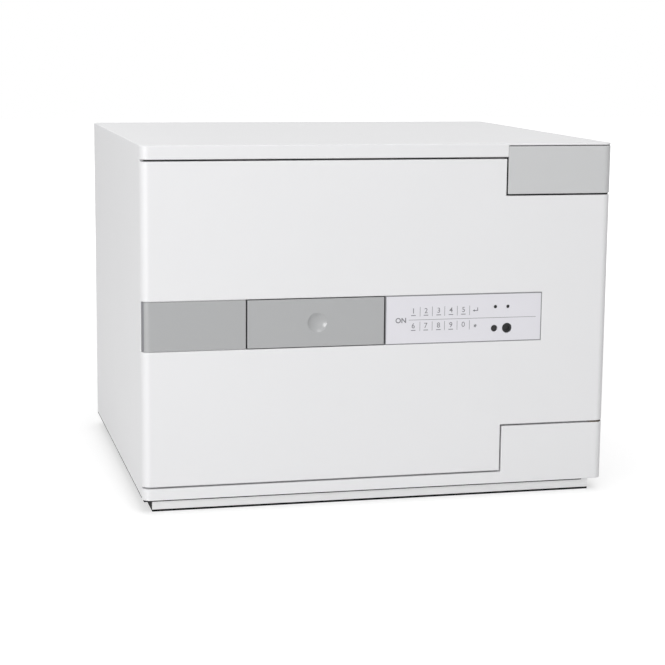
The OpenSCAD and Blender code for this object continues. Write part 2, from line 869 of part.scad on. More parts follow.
// Lead from the keypad board to the socket on the control board
module keypad_lead() {
    half = 3;
    y_flat = y_floor + 2;
    flat_t = 2;
    socket_low = control_z + 2;
    socket_high = control_z + 6;
    color("#3a3a3d") {
        rod_y(lead_x, y_board + board_t, y_flat, z_band_mid, lead_d);
        block([lead_x - half, y_flat, z_band_mid - lead_d / 2],
            [lead_x + half, y_flat + flat_t, socket_high]);
        block([lead_x - half, y_flat, socket_low], [lead_x + half, y_control, socket_high]);
    }
}

module bolt_housing() {
    color("#c2c4c7") difference() {
        union() {
            pan([housing_left, y_housing, housing_low], [housing_right, y_cover, housing_high],
                door_sheet, "back");
            for (s = screw_spots) rod_y(s[0], y_floor, y_cover, s[1], 9);
        }
        for (z = bolt_zs) rod_x(housing_left - 1, housing_left + door_sheet + 1, bolt_y, z, guide_d);
        for (s = screw_spots) rod_y(s[0], y_cover - 10, y_cover + 1, s[1], screw_d);
        rod_y(lead_x, y_housing - 1, y_floor + 1, z_band_mid, conduit_d);
    }
}

module door_cover() {
    color("#d6d7d9") difference() {
        union() {
            block([housing_left, y_cover, housing_low], [housing_right, y_door_end, housing_high]);
            for (x = [lid_left - lid_gap - ear_t, lid_right + lid_gap])
                block([x, y_door_end, lid_axis_z - lid_r],
                    [x + ear_t, lid_axis_y + lid_r, lid_axis_z + lid_r]);
        }
        block([battery_x, y_cover - 1, battery_z],
            [battery_x + battery_w, y_door_end + 1, battery_z + battery_h]);
        rod_x(lid_left - 2 * ear_t, lid_right + 2 * ear_t, lid_axis_y, lid_axis_z, lid_pin + 2 * run_clear);
        rod_y(button_x, y_cover - 1, y_door_end + 1, button_z, button_d + 2 * run_clear);
        for (s = screw_spots) rod_y(s[0], y_cover - 1, y_door_end + 1, s[1], screw_d + 0.4);
    }
}

module cover_screws() {
    color("#a5a7aa") for (s = screw_spots) difference() {
        union() {
            rod_y(s[0], y_cover - 8, y_door_end, s[1], screw_d - 0.1);
            rod_y(s[0], y_door_end, y_door_end + 2.2, s[1], 2 * screw_d);
        }
        for (turn = [0, 90]) translate([s[0], y_door_end + 2.2, s[1]]) rotate([0, turn, 0])
            cube([5, 2.4, 1], center = true);
    }
}

// Flanged bushes that carry the bolts in the housing wall
module bolt_guides() {
    x_in = housing_left + door_sheet;
    color("#c9a24a") for (z = bolt_zs) difference() {
        union() {
            rod_x(housing_left, x_in + guide_in, bolt_y, z, guide_d);
            rod_x(x_in, x_in + 2, bolt_y, z, guide_d + 4);
        }
        rod_x(housing_left - 1, x_in + guide_in + 1, bolt_y, z, bolt_d + 2 * run_clear);
    }
}

// Shoulder studs that the carriage slides along
module carriage_studs() {
    y1 = y_carriage + carriage_t + side_play;
    color("#9a9c9f") for (z = stud_zs) {
        rod_y(stud_x, y_floor, y_carriage - side_play, z, stud_d + 3);
        rod_y(stud_x, y_floor, y1, z, stud_d);
        rod_y(stud_x, y1, y1 + 1.5, z, stud_d + 5);
    }
}

module bolt_carriage() {
    z0 = bolt_zs[0] - carriage_margin;
    z1 = bolt_zs[2] + carriage_margin;
    color("#b0b3b7") difference() {
        block([carriage_x, y_carriage, z0], [carriage_x + carriage_w, y_carriage + carriage_t, z1]);
        for (z = stud_zs) {
            block([stud_x, y_carriage - 1, z - slot_w / 2],
                [stud_x + bolt_throw, y_carriage + carriage_t + 1, z + slot_w / 2]);
            for (x = [0, bolt_throw])
                rod_y(stud_x + x, y_carriage - 1, y_carriage + carriage_t + 1, z, slot_w);
        }
        for (z = bolt_zs) rod_y(bolt_screw_x, y_carriage - 1, y_carriage + carriage_t + 1, z, screw_d + fit);
    }
}

// Round bolts with a milled flat where the carriage carries them
module locking_bolts() {
    color("#d0d2d5") for (z = bolt_zs) difference() {
        union() {
            rod_x(bolt_tip + bolt_nose, bolt_end, bolt_y, z, bolt_d);
            translate([bolt_tip, bolt_y, z]) rotate([0, 90, 0])
                cylinder(d1 = bolt_d - 2 * bolt_nose, d2 = bolt_d, h = bolt_nose);
        }
        block([carriage_x, y_carriage, z - bolt_d], [bolt_end + 1, y_carriage + bolt_d, z + bolt_d]);
        rod_y(bolt_screw_x, y_carriage - 6, y_carriage + 1, z, screw_d);
    }
}

module bolt_screws() {
    y1 = y_carriage + carriage_t;
    color("#8f9194") for (z = bolt_zs) {
        rod_y(bolt_screw_x, y_carriage - 5, y1, z, screw_d - 0.1);
        rod_y(bolt_screw_x, y1, y1 + 2, z, 2 * screw_d);
    }
}

// Rack with true straight-sided teeth; a space stands over the pinion's lowest tooth at rest
module drive_rack() {
    x0 = carriage_x + 2;
    x1 = axle_x + bolt_throw + 10;
    first = carriage_x + carriage_w + 6;
    lean = rack_module * tan(pressure);
    half = rack_pitch / 4 - backlash / 2;
    tip = half - lean;
    root = half + 1.25 * lean;
    base = rack_line - 1.25 * rack_module;
    last_tooth = floor((x1 - axle_x) / rack_pitch - 1);
    first_tooth = -floor((axle_x - first) / rack_pitch - 0.5);
    teeth = [for (k = [first_tooth : last_tooth]) let (x = axle_x + (k + 0.5) * rack_pitch)
        each [[x - root, base], [x - tip, rack_line + rack_module],
            [x + tip, rack_line + rack_module], [x + root, base]]];
    color("#b0b3b7") translate([0, y_carriage, 0]) rotate([90, 0, 0]) linear_extrude(rack_t)
        polygon(concat([[x1, base - rack_body], [x0, base - rack_body], [x0, base]], teeth, [[x1, base]]));
}

module gear_axle() {
    y1 = y_carriage + 1.5;
    color("#9a9c9f") {
        rod_y(axle_x, y_floor, y1, axle_z, axle_d);
        rod_y(axle_x, y_floor, y_wheel - 0.2, axle_z, axle_d + 5);
        rod_y(axle_x, y1 - 1, y1, axle_z, axle_d + 4);
    }
}

// Gear wheel and rack pinion in one piece
module gear_wheel() {
    y1 = y_carriage + 0.3;
    web = 2;
    color("#c8b27a") difference() {
        union() {
            difference() {
                gear(axle_x, axle_z, y_wheel, wheel_t, wheel_module, wheel_teeth, mesh_angle);
                rod_y(axle_x, y_wheel - 1, y_wheel + wheel_t - web, axle_z, 2 * (wheel_r - 5));
            }
            rod_y(axle_x, y_wheel, y_wheel + wheel_t, axle_z, axle_d + 8);
            gear(axle_x, axle_z, y_wheel + wheel_t - 0.5, y1 - y_wheel - wheel_t,
                rack_module, pinion_teeth, -90);
        }
        rod_y(axle_x, y_wheel - 1, y1 + 1, axle_z, axle_d + 2 * run_clear);
    }
}

// Pinion cut on the motor's shaft, which turns in the motor's front bearing
module motor_pinion() {
    color("#c8b27a") {
        gear(motor_x, motor_z, y_wheel, wheel_t, wheel_module, motor_teeth,
            mesh_angle + 180 + 180 / motor_teeth);
        rod_y(motor_x, y_wheel, y_bracket + bracket_t + shaft_in, motor_z, shaft_d);
    }
}

module lock_motor() {
    y0 = y_bracket + bracket_t;
    cap = 1.5;
    color("#7d7f83") difference() {
        union() {
            rod_y(motor_x, y0, y0 + motor_len, motor_z, motor_d);
            rod_y(motor_x, y0 + motor_len, y0 + motor_len + cap, motor_z, motor_d / 3);
        }
        rod_y(motor_x, y0 - 1, y0 + shaft_in + side_play, motor_z, shaft_d + 2 * run_clear);
    }
}

// Bracket with two posts that carry the motor clear of the wheel
post_angles = [mesh_angle - 50, mesh_angle + 50];
post_reach = motor_d / 2 + 6;

module motor_bracket() {
    color("#b0b3b7") difference() {
        union() {
            rod_y(motor_x, y_bracket, y_bracket + bracket_t, motor_z, motor_d);
            for (a = post_angles) {
                translate([motor_x, y_bracket + bracket_t, motor_z]) rotate([90, -a, 0])
                    translate([0, -post_d / 2 - 1, 0]) cube([post_reach, post_d + 2, bracket_t]);
                rod_y(motor_x + post_reach * cos(a), y_floor, y_bracket + bracket_t,
                    motor_z + post_reach * sin(a), post_d + 2);
            }
        }
        rod_y(motor_x, y_bracket - 1, y_bracket + bracket_t + 1, motor_z, shaft_d + 1);
    }
}

// Small switch that feels the carriage's edge when the bolts are drawn back
module bolt_switch() {
    x0 = carriage_x + carriage_w + 1;
    z0 = bolt_zs[2] - 10;
    color("#26272a") {
        block([x0 + 1.5, y_floor, z0], [x0 + 9, y_carriage + carriage_t, z0 + 20]);
        block([x0, y_carriage, z0 + 8], [x0 + 1.5, y_carriage + 2, z0 + 11]);
    }
}

module control_board() {
    y1 = y_control + board_t;
    color("#2f6b46") block([control_x, y_control, control_z],
        [control_x + control_w, y1, control_z + control_h]);
    color("#1f2023") {
        block([control_x + 18, y1, control_z + 30], [control_x + 34, y1 + 2.5, control_z + 46]);
        block([control_x + 46, y1, control_z + 38], [control_x + 60, y1 + 8, control_z + 54]);
        block([control_x + 12, y1, control_z + 6], [control_x + 30, y1 + 6, control_z + 13]);
    }
    for (k = [0 : 2]) rod_y(control_x + 72 + k * 11, y1, y1 + 9, control_z + 46, 8);
}

module board_spacers() {
    edge = 6;
    color("#c9a24a") for (x = [edge, control_w - edge], z = [edge, control_h - edge])
        rod_y(control_x + x, y_floor, y_control, control_z + z, post_d);
}

// Battery box with a low rib between neighbouring cells
module battery_box() {
    color("#38393c") {
        pan([battery_x - battery_wall, y_cover - battery_deep - battery_wall, battery_z - battery_wall],
            [battery_x + battery_w + battery_wall, y_cover, battery_z + battery_h + battery_wall],
            battery_wall, "back");
        for (k = [1 : 3]) block([cell_x(k) - cell_gap / 2, y_cover - battery_deep - 0.5, battery_z],
            [cell_x(k), y_cover - cell_d, battery_z + battery_h]);
    }
}

function cell_x(k) = battery_x + battery_wall + k * (cell_d + cell_gap);

y_cell = y_cover - cell_d / 2 - 3;

// Contact strips at both ends of the cells
module battery_contacts() {
    strip = 0.8;
    z0 = battery_z;
    z1 = battery_z + battery_h;
    rest = (battery_h - cell_l - cell_nub) / 2;
    color("#c3c5c8") for (k = [0 : 3]) {
        x = cell_x(k) + cell_d / 2;
        block([x - 5, y_cell - 5, z0], [x + 5, y_cell + 5, z0 + strip]);
        translate([x, y_cell, z0 + strip]) cylinder(d1 = 9, d2 = 5, h = rest - strip);
        block([x - 5, y_cell - 5, z1 - strip], [x + 5, y_cell + 5, z1]);
        translate([x, y_cell, z1 - rest]) cylinder(d1 = 5, d2 = 9, h = rest - strip);
    }
}

module battery_cells() {
    z0 = battery_z + (battery_h - cell_l - cell_nub) / 2;
    color("#4d5a66") for (k = [0 : 3]) {
        x = cell_x(k) + cell_d / 2;
        rod_z(x, y_cell, z0, z0 + cell_l, cell_d);
        rod_z(x, y_cell, z0 + cell_l, z0 + cell_l + cell_nub, 5.5);
    }
}

// Lid with its own hinge barrel and stub pins along its top edge
module battery_lid() {
    y0 = y_door_end + lid_gap;
    z0 = battery_z - lid_lap;
    color("#46474b") difference() {
        union() {
            block([lid_left, y0, z0], [lid_right, y0 + lid_t, lid_axis_z]);
            rod_x(lid_left, lid_right, lid_axis_y, lid_axis_z, 2 * lid_r);
            rod_x(lid_left - lid_gap - ear_t, lid_right + lid_gap + ear_t, lid_axis_y, lid_axis_z, lid_pin);
        }
        block([lid_left + 24, y0 + lid_t - 1, z0 + 4], [lid_right - 24, y0 + lid_t + 1, z0 + 10]);
    }
}

module code_switch() {
    color("#26272a") difference() {
        block([button_x - 7, y_cover - 17, button_z - 7], [button_x + 7, y_cover, button_z + 7]);
        rod_y(button_x, y_cover - 13, y_cover + 1, button_z, button_d + 2 * run_clear);
    }
}

module code_button() {
    color("#b5342c") rod_y(button_x, y_cover - 10, y_door_end + button_travel + 0.8, button_z, button_d);
}

// Handle plate with a round finger dimple and a hollow back
module handle_plate() {
    low = [inlay_x + handle_end_gap, y_front, z_band + handle_side_gap];
    high = [handle_x - handle_end_gap, y_front + handle_t, z_band + band_h - handle_side_gap];
    skin = 2.2;
    rib_out = 34;
    rib_t = 2;
    ball = (pow(dimple_d / 2, 2) + pow(dimple_depth, 2)) / (2 * dimple_depth);
    color("#aeb0b3") difference() {
        union() {
            pan(low, high, skin, "back");
            rod_y(handle_mid, y_front + 1, y_front + handle_t, z_band_mid, dimple_d + 6);
            for (x = [handle_mid - rib_out, handle_mid + rib_out])
                block([x - rib_t / 2, y_front + 1, low[2]], [x + rib_t / 2, high[1], high[2]]);
        }
        translate([handle_mid, y_front + dimple_depth - ball, z_band_mid]) sphere(r = ball, $fn = 96);
    }
}

module handle_stem() {
    color("#9a9c9f") {
        rod_y(handle_mid, y_front + handle_t, stem_end, z_band_mid, stem_d);
        rod_y(handle_mid, stem_end - stem_flange_t, stem_end, z_band_mid, stem_flange);
    }
}

outer_casing();
bottom_plate();
plinth();
front_frame();
strike_plate();
strike_box();
inner_liner();
fire_fill();
lower_hinge_block();
upper_hinge_block();
hinge_block_screws();
hinge_cap();
lower_hinge_pin();
upper_hinge_pin();
hinge_washer();
anchor_sleeves();
floor_mat();
shelf();
shelf_studs();
door_plate();
door_tray();
door_fill();
door_seal();
lower_hinge_bush();
upper_hinge_bush();
band_inlay();
handle_backplate();
handle_latch_body();
keypad_tray();
keypad_panel();
keypad_board();
status_lamps();
reserve_contacts();
cable_conduit();
keypad_lead();
bolt_housing();
door_cover();
cover_screws();
bolt_guides();
carriage_studs();
gear_axle();
motor_bracket();
lock_motor();
bolt_switch();
control_board();
board_spacers();
battery_box();
battery_contacts();
battery_cells();
code_switch();
handle_plate();
handle_stem();
bolt_carriage();
drive_rack();
locking_bolts();
bolt_screws();
gear_wheel();
motor_pinion();
battery_lid();
code_button();
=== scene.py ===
# Electronic safe: its looks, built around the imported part
import bpy
import bmesh
import json
import math
from mathutils import Matrix, Vector


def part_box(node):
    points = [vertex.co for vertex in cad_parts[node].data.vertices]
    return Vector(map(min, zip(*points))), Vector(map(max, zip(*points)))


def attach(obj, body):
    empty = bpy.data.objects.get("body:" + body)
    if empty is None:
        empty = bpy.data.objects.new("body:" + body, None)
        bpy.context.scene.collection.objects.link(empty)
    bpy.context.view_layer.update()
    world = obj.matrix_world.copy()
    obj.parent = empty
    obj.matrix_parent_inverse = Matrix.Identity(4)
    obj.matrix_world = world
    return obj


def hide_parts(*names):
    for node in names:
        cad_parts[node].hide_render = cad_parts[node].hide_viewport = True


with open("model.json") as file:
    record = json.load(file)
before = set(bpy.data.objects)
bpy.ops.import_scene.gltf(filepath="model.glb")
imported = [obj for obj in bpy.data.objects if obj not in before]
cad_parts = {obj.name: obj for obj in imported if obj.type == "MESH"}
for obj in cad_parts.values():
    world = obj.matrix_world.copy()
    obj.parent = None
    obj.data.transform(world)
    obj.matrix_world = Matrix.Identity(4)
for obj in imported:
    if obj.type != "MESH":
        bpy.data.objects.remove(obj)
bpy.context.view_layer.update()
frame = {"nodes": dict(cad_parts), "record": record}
nodes = frame["nodes"]
bodies = frame["record"]["behaviour"]["bodies"]
bodyOf = {node: body for body, members in bodies.items() for node in members}
slotOf = {part["node"]: part["material_slot"] for part in frame["record"]["subparts"]}
print("frame loaded:", len(nodes), "nodes")

millimetre = 0.001
white = (1, 1, 1, 1)


# Node trees
def emptyTree(owner):
    owner.use_nodes = True
    owner.node_tree.nodes.clear()
    return owner.node_tree


def addNode(tree, kind, inputs=None, **settings):
    node = tree.nodes.new(kind)
    for name, value in settings.items():
        setattr(node, name, value)
    for name, value in (inputs or {}).items():
        if isinstance(value, bpy.types.NodeSocket):
            tree.links.new(value, node.inputs[name])
        else:
            node.inputs[name].default_value = value
    return node


def startGroup(name, inputs, outputs):
    tree = bpy.data.node_groups.new(name, "ShaderNodeTree")
    kinds = {"colour": "NodeSocketColor", "value": "NodeSocketFloat", "vector": "NodeSocketVector"}
    for label, kind in inputs.items():
        tree.interface.new_socket(label, in_out="INPUT", socket_type=kinds[kind])
    for label, kind in outputs.items():
        tree.interface.new_socket(label, in_out="OUTPUT", socket_type=kinds[kind])
    given = addNode(tree, "NodeGroupInput").outputs
    return tree, given, addNode(tree, "NodeGroupOutput").inputs


# Noise behind every finish; the span is the part of it that runs from smoothest to roughest
surfaceNoise = {"patchDetail": 4.0, "patchRough": 0.6, "grainDetail": 3.0, "grainRough": 0.55,
                "span": (0.3, 0.7)}


# Broad patches of tone and gloss with a fine grain over them
def makeSurfaceGroup():
    tree, given, out = startGroup(
        "surfaceTexture",
        {"Colour": "colour", "Tone Spread": "value", "Patches per Metre": "value",
         "Grains per Metre": "value", "Stretch": "vector", "Smoothest": "value",
         "Roughest": "value"},
        {"Colour": "colour", "Roughness": "value", "Height": "value"})
    place = addNode(tree, "ShaderNodeTexCoord").outputs["Object"]
    stretched = addNode(tree, "ShaderNodeVectorMath", {0: place, 1: given["Stretch"]},
                        operation="MULTIPLY")
    patches = addNode(tree, "ShaderNodeTexNoise", {
        "Vector": place, "Scale": given["Patches per Metre"],
        "Detail": surfaceNoise["patchDetail"], "Roughness": surfaceNoise["patchRough"]})
    grain = addNode(tree, "ShaderNodeTexNoise", {
        "Vector": stretched.outputs["Vector"], "Scale": given["Grains per Metre"],
        "Detail": surfaceNoise["grainDetail"], "Roughness": surfaceNoise["grainRough"]})
    # both noises swing about a half, so their sum less one swings about nothing
    mixed = addNode(tree, "ShaderNodeMath",
                    {0: patches.outputs["Fac"], 1: grain.outputs["Fac"]}, operation="ADD")
    centred = addNode(tree, "ShaderNodeMath", {0: mixed.outputs[0], 1: 1.0}, operation="SUBTRACT")
    shift = addNode(tree, "ShaderNodeMath",
                    {0: centred.outputs[0], 1: given["Tone Spread"], 2: 1.0},
                    operation="MULTIPLY_ADD")
    toned = addNode(tree, "ShaderNodeHueSaturation",
                    {"Color": given["Colour"], "Value": shift.outputs[0]})
    least, most = surfaceNoise["span"]
    gloss = addNode(tree, "ShaderNodeMapRange", {
        "Value": patches.outputs["Fac"], "From Min": least, "From Max": most,
        "To Min": given["Smoothest"], "To Max": given["Roughest"]})
    tree.links.new(toned.outputs["Color"], out["Colour"])
    tree.links.new(gloss.outputs["Result"], out["Roughness"])
    tree.links.new(grain.outputs["Fac"], out["Height"])
    return tree


surfaceGroup = makeSurfaceGroup()

# What a finish has where its own entry says nothing else
usualLook = {"stretch": (1, 1, 1), "depth": 0.0002, "metal": 0.0, "coat": 0.0, "coatGloss": 0.06,
             "shine": 0.5, "sheen": 0.0}


def finishMaterial(name, ownLook):
    look = {**usualLook, **ownLook}
    smoothest, roughest = look["gloss"]
    material = bpy.data.materials.new(name)
    tree = emptyTree(material)
    texture = addNode(tree, "ShaderNodeGroup", {
        "Colour": (*look["colour"], 1), "Tone Spread": look["spread"],
        "Patches per Metre": look["patches"], "Grains per Metre": look["grains"],
        "Stretch": look["stretch"], "Smoothest": smoothest, "Roughest": roughest},
        node_tree=surfaceGroup)
    bump = addNode(tree, "ShaderNodeBump", {
        "Height": texture.outputs["Height"], "Strength": look["relief"],
        "Distance": look["depth"]})
    shader = addNode(tree, "ShaderNodeBsdfPrincipled", {
        "Base Color": texture.outputs["Colour"], "Roughness": texture.outputs["Roughness"],
        "Normal": bump.outputs["Normal"], "Metallic": look["metal"],
        "Coat Weight": look["coat"], "Coat Roughness": look["coatGloss"],
        "Specular IOR Level": look["shine"], "Sheen Weight": look["sheen"]})
    addNode(tree, "ShaderNodeOutputMaterial", {"Surface": shader.outputs["BSDF"]})
    return material


# What each finish looks like: colour, its spread, patches and grains to the metre, gloss, relief
finishes = {
    "white_paint": {"colour": (0.79, 0.79, 0.8), "spread": 0.02, "patches": 5, "grains": 1500,
                    "gloss": (0.4, 0.48), "relief": 0.12},
    # White lighter than the body's, painted light for the apron in the overhang's shade
    "apron_painted_light_white": {"colour": (0.96, 0.96, 0.965), "spread": 0.02, "patches": 5, "grains": 1500,
                    "gloss": (0.3, 0.38), "relief": 0.12},
    "inner_paint": {"colour": (0.56, 0.565, 0.575), "spread": 0.04, "patches": 7, "grains": 900,
                    "gloss": (0.45, 0.58), "relief": 0.3},
    "cap_grey": {"colour": (0.57, 0.575, 0.58), "spread": 0.02, "patches": 8, "grains": 1800,
                 "gloss": (0.42, 0.5), "relief": 0.15},
    "band_grey": {"colour": (0.41, 0.415, 0.42), "spread": 0.02, "patches": 9, "grains": 1800,
                  "gloss": (0.22, 0.25), "relief": 0.06},
    "inlay_lacquer": {"colour": (0.375, 0.38, 0.385), "spread": 0.02, "patches": 9,
                      "grains": 1800, "gloss": (0.3, 0.34), "relief": 0.05, "coat": 0.9},
    "tray_grey": {"colour": (0.25, 0.255, 0.265), "spread": 0.04, "patches": 12, "grains": 1500,
                  "gloss": (0.4, 0.5), "relief": 0.15},
    "keypad_gloss": {"colour": (0.74, 0.732, 0.775), "spread": 0.008, "patches": 6,
                     "grains": 300, "gloss": (0.1, 0.16), "relief": 0.01, "coat": 0.4},
    "black_plastic": {"colour": (0.009, 0.009, 0.01), "spread": 0.2, "patches": 20,
                      "grains": 2200, "gloss": (0.38, 0.5), "relief": 0.2},
    "seal_rubber": {"colour": (0.035, 0.035, 0.038), "spread": 0.3, "patches": 30,
                    "grains": 2500, "gloss": (0.7, 0.85), "relief": 0.3},
    "mat_felt": {"colour": (0.05, 0.052, 0.056), "spread": 0.5, "patches": 25, "grains": 2600,
                 "gloss": (0.85, 0.95), "relief": 1.0, "depth": 0.0006, "sheen": 0.4},
    "fire_fill": {"colour": (0.42, 0.4, 0.36), "spread": 0.25, "patches": 40, "grains": 700,
                  "gloss": (0.8, 0.95), "relief": 0.7, "depth": 0.0006},
    "plain_steel": {"colour": (0.5, 0.505, 0.515), "spread": 0.12, "patches": 15, "grains": 260,
                    "stretch": (1, 8, 14), "gloss": (0.26, 0.38), "relief": 0.1,
                    "depth": 0.00005, "metal": 1.0},
    "motor_can": {"colour": (0.42, 0.425, 0.435), "spread": 0.1, "patches": 20, "grains": 240,
                  "stretch": (14, 1, 14), "gloss": (0.3, 0.4), "relief": 0.1,
                  "depth": 0.00005, "metal": 1.0},
    "bright_chrome": {"colour": (0.78, 0.785, 0.8), "spread": 0.03, "patches": 12, "grains": 220,
                      "stretch": (10, 1, 1), "gloss": (0.06, 0.12), "relief": 0.02,
                      "depth": 0.00003, "metal": 1.0},
    "yellow_brass": {"colour": (0.66, 0.46, 0.18), "spread": 0.12, "patches": 30, "grains": 260,
                     "stretch": (12, 1, 12), "gloss": (0.22, 0.34), "relief": 0.08,
                     "depth": 0.00004, "metal": 1.0},
    # Bronze darkened to near black, painted shade in the lower hinge gap
    "bush_bronze": {"colour": (0.07, 0.05, 0.032), "spread": 0.15, "patches": 30, "grains": 260,
                    "stretch": (12, 1, 12), "gloss": (0.4, 0.55), "relief": 0.08,
                    "depth": 0.00004, "metal": 1.0},
    "board_green": {"colour": (0.02, 0.11, 0.05), "spread": 0.3, "patches": 160, "grains": 900,
                    "gloss": (0.25, 0.4), "relief": 0.15, "coat": 0.2},
    "cell_jacket": {"colour": (0.03, 0.045, 0.07), "spread": 0.15, "patches": 40, "grains": 900,
                    "gloss": (0.25, 0.35), "relief": 0.05, "coat": 0.3},
    "button_red": {"colour": (0.5, 0.028, 0.02), "spread": 0.08, "patches": 60, "grains": 1800,
                   "gloss": (0.2, 0.3), "relief": 0.05, "coat": 0.3},
    # Grey of the printed keypad marks, also the painted shade at the inlay's left end
    "ink_and_painted_shade_grey": {"colour": (0.2, 0.2, 0.215), "spread": 0.06, "patches": 60, "grains": 2000,
                 "gloss": (0.3, 0.4), "relief": 0.05},
    # Black that stands in for shade: painted shade in the gaps, on the plinth's pan and foot, on
    # the bottom plate and along the casing's lower edge
    "painted_shade_black": {"colour": (0.012, 0.012, 0.013), "spread": 0.2, "patches": 40, "grains": 1500,
                  "gloss": (0.6, 0.8), "relief": 0.2, "shine": 0.1},
}
# Nodes that look unlike the rest of their slot: the bottom plate black as painted shade under the
# body, the hinge washer and bushes in near-black bronze as painted shade in the lower hinge gap,
# where the washer shows
ownFinish = {"hinge_washer": "bush_bronze", "lower_hinge_bush": "bush_bronze",
             "upper_hinge_bush": "bush_bronze", "bottom_plate": "painted_shade_black",
             "band_inlay": "inlay_lacquer"}
materials = {name: finishMaterial(name, look) for name, look in finishes.items()}
for node, piece in nodes.items():
    for place in piece.material_slots:
        place.material = materials[ownFinish.get(node, slotOf[node])]
print("finishes made:", len(materials))


# Pieces
def addObject(name, data):
    made = bpy.data.objects.new(name, data)
    bpy.context.scene.collection.objects.link(made)
    return made


def addPiece(name, mesh, body, slot, finish=None):
    piece = addObject(name, mesh)
    mesh.materials.clear()
    mesh.materials.append(materials[finish or slot])
    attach(piece, body)
    return piece


def meshFrom(bm, name):
    mesh = bpy.data.meshes.new(name)
    bm.to_mesh(mesh)
    bm.free()
    return mesh


def addBlock(bm, low, high):
    made = bmesh.ops.create_cube(bm, size=1)
    low, high = Vector(low), Vector(high)
    bmesh.ops.scale(bm, vec=high - low, verts=made["verts"])
    bmesh.ops.translate(bm, vec=(low + high) / 2, verts=made["verts"])


def cutAcross(bm, place, normal, clearOuter=False):
    everything = bm.verts[:] + bm.edges[:] + bm.faces[:]
    made = bmesh.ops.bisect_plane(bm, geom=everything, plane_co=place, plane_no=normal,
                                  clear_outer=clearOuter)
    return [item for item in made["geom_cut"] if isinstance(item, bmesh.types.BMEdge)]


# How shells are made, with lengths in mm and angles in degrees
shellMaking = {
    "merge": 0.002,  # points nearer to each other than this become one
    "flat": 1,  # faces that meet at less than this become one
    "crease": 25,  # edges at more than this stay sharp in the shading
    "corner": 32,  # edges at more than this are rounded
    "share": 0.4,  # of a narrow face's width is the most that a rounding takes
    "steps": 3,  # faces across a rounding
}


def mergedCopy(node):
    bm = bmesh.new()
    bm.from_mesh(nodes[node].data)
    bmesh.ops.remove_doubles(bm, verts=bm.verts, dist=shellMaking["merge"] * millimetre)
    bmesh.ops.dissolve_limit(bm, angle_limit=math.radians(shellMaking["flat"]), verts=bm.verts,
                             edges=bm.edges, delimit=set())
    return bm


def smoothByAngle(mesh, degrees):
    for face in mesh.polygons:
        face.use_smooth = True
    mesh.set_sharp_from_angle(angle=math.radians(degrees))


# Every edge sharper than the angle is rounded, less where a face beside it is narrow
def softenEdges(piece, radius, steps, degrees=shellMaking["corner"]):
    bm = bmesh.new()
    bm.from_mesh(piece.data)
    weight = bm.edges.layers.float.new("bevel_weight_edge")
    for edge in bm.edges:
        if len(edge.link_faces) == 2 and edge.calc_face_angle(0) > math.radians(degrees):
            room = min(face.calc_area() for face in edge.link_faces) / edge.calc_length()
            edge[weight] = min(1, shellMaking["share"] * room / radius)
    bm.to_mesh(piece.data)
    bm.free()
    bevel = piece.modifiers.new("softEdges", "BEVEL")
    bevel.width = radius
    bevel.segments = steps
    bevel.limit_method = "WEIGHT"
    bevel.use_clamp_overlap = False
    normals = piece.modifiers.new("flatFaces", "WEIGHTED_NORMAL")
    normals.keep_sharp = True


# The part's own shells with their edges rounded, as folded and painted steel or moulded plastic
# has them: node: (piece, edge radius in mm)
softShells = {
    "outer_casing": ("casingShell", 0.9),
    "lower_hinge_block": ("lowerHingeShell", 0.4),
    "hinge_cap": ("hingeCapShell", 0.5),
    "door_plate": ("doorPlateShell", 0.7),
    "band_inlay": ("inlayStrip", 0.25),
    "handle_plate": ("handleFace", 0.4),
    "keypad_tray": ("keypadRim", 0.15),
    "keypad_panel": ("keypadFace", 0.2),
    "front_frame": ("frontFrameShell", 0.4),
    "door_tray": ("doorTrayShell", 0.5),
    "bolt_housing": ("boltHousingShell", 0.4),
    "door_cover": ("doorCoverShell", 0.4),
    "battery_lid": ("batteryLidShell", 0.4),
    "shelf": ("shelfTray", 0.4),
    "strike_plate": ("strikePlateShell", 0.3),
}

# The rim of the finger dimple stays sharp, so the handle rounds only its steeper edges
ownCorner = {"handle_plate": 55}

# Painted shade: a dark band along a shell's lowest side on one axis, along the casing's bottom edge
# and at the inlay's left end where it turns to the side: node: (axis, width in mm, finish)
paintedShadeEdges = {"outer_casing": (2, 1.6, "painted_shade_black"), "band_inlay": (0, 1.7, "ink_and_painted_shade_grey")}

# Lines of the front as the photograph has them: where the part has a line, where it is drawn, in mm
frontLines = {
    "heights": ((10.0, 13.5), (21.5, 22.4), (23.5, 24.4), (25.1, 26.0), (30.0, 30.6),
                (66.0, 66.2), (150.5, 149.6), (153.3, 152.3), (156.0, 155.0), (160.0, 160.0),
                (192.0, 192.0), (195.0, 196.1), (197.8, 198.9), (201.0, 201.8), (210.0, 210.0)),
    "widths": ((-132.0, -132.6), (-127.9, -128.7), (-124.0, -124.6), (-110.0, -110.0),
               (-10.0, -10.0), (1.0, 0.1), (4.5, 3.6), (8.0, 7.3), (12.0, 12.0),
               (140.0, 140.0), (155.0, 154.0), (159.1, 158.0), (162.0, 161.2), (170.0, 170.0)),
    "reach": 0.5,  # what lies this little before the first line moves with it
    "nodes": ("outer_casing", "lower_hinge_block", "door_plate", "band_inlay", "handle_plate",
              "keypad_tray", "keypad_panel"),
    "heightsOnly": ("outer_casing",),
    "trims": {"band_inlay": (0.2, 0.5), "handle_plate": (0.3, 0.4)},  # gap at each side, in mm
}


def drawnPlace(pairs, value):
    for (start, startDrawn), (end, endDrawn) in zip(pairs, pairs[1:]):
        if start <= value <= end:
            return startDrawn + (endDrawn - startDrawn) * (value - start) / (end - start)
    first, firstDrawn = pairs[0]
    if first - frontLines["reach"] < value < first:
        return value + (firstDrawn - first)
    return value


